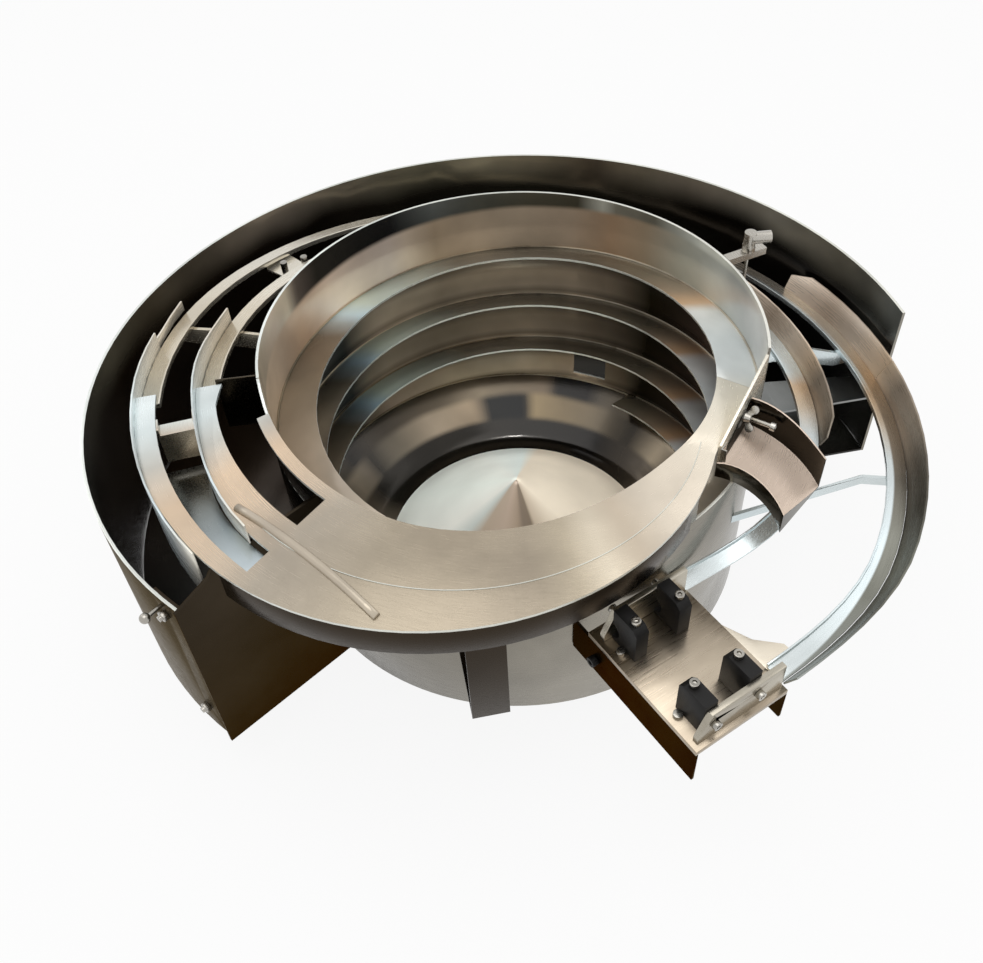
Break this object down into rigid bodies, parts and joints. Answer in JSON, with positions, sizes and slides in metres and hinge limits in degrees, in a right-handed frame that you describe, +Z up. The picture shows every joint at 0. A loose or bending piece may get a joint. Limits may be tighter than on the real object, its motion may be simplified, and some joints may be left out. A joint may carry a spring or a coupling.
{
  "type": "vibratory bowl feeder",
  "caption": "Vibratory bowl feeder bowl with a helical inner track, a front sorting deck, outside return lanes to a discharge plate, and a surrounding catch pan.",
  "frame": {"origin": "centre of the bowl axis on the underside of the clamping ring", "axes": "+Z up along the bowl axis, -Y towards the front deck, +X towards the dump chute side"},
  "size_m": [0.8692, 0.8328, 0.3652],
  "materials": {
    "polished_sheet": "polished",
    "brushed_sheet": "satin",
    "pan_sheet": "polished, in shade",
    "block": "matt",
    "fastener": "bright",
    "fitting": "bright plated"
  },
  "bodies": {
    "root": {"clamping_ring": "brushed_sheet", "bowl_floor": "polished_sheet", "bowl_wall": "polished_sheet", "wall_riser": "polished_sheet", "spiral_track": "polished_sheet", "front_deck": "polished_sheet", "deck_skirt": "polished_sheet", "slot_baffle": "polished_sheet", "slot_ramp": "brushed_sheet", "deflector_strip": "polished_sheet", "deck_bracket": "brushed_sheet", "dump_gate": "polished_sheet", "gate_clip": "fastener", "gate_screw": "fastener", "wing_nut": "fastener", "dump_chute": "polished_sheet", "inner_lane": "brushed_sheet", "outer_lane": "brushed_sheet", "inner_front_guard": "brushed_sheet", "outer_front_guard": "brushed_sheet", "outer_side_guard": "brushed_sheet", "inner_rear_guard": "brushed_sheet", "outer_fan_guard": "brushed_sheet", "outer_right_guard": "brushed_sheet", "lane_bridge": "brushed_sheet", "rear_bracket": "brushed_sheet", "rear_bracket_pins": "fastener", "lane_ties": "brushed_sheet", "lane_strut": "brushed_sheet", "pan_wall": "pan_sheet", "pan_floor": "pan_sheet", "pan_end_plate": "pan_sheet", "end_shelf": "pan_sheet", "end_plate_screws": "fastener", "end_plate_knob": "fastener", "tool_plate": "brushed_sheet", "tool_side_left": "brushed_sheet", "tool_side_right": "brushed_sheet", "tool_gusset": "brushed_sheet", "near_guide_rail": "brushed_sheet", "far_guide_rail": "brushed_sheet", "near_clamp_blocks": "block", "far_clamp_blocks": "block", "clamp_screws": "fastener", "base_screws": "fastener", "rail_screws": "fastener", "side_plate_screw": "block", "guard_screws": "fastener", "air_bar": "brushed_sheet", "air_elbow": "fitting", "air_pipe": "fastener"}
  },
  "joints": []
}
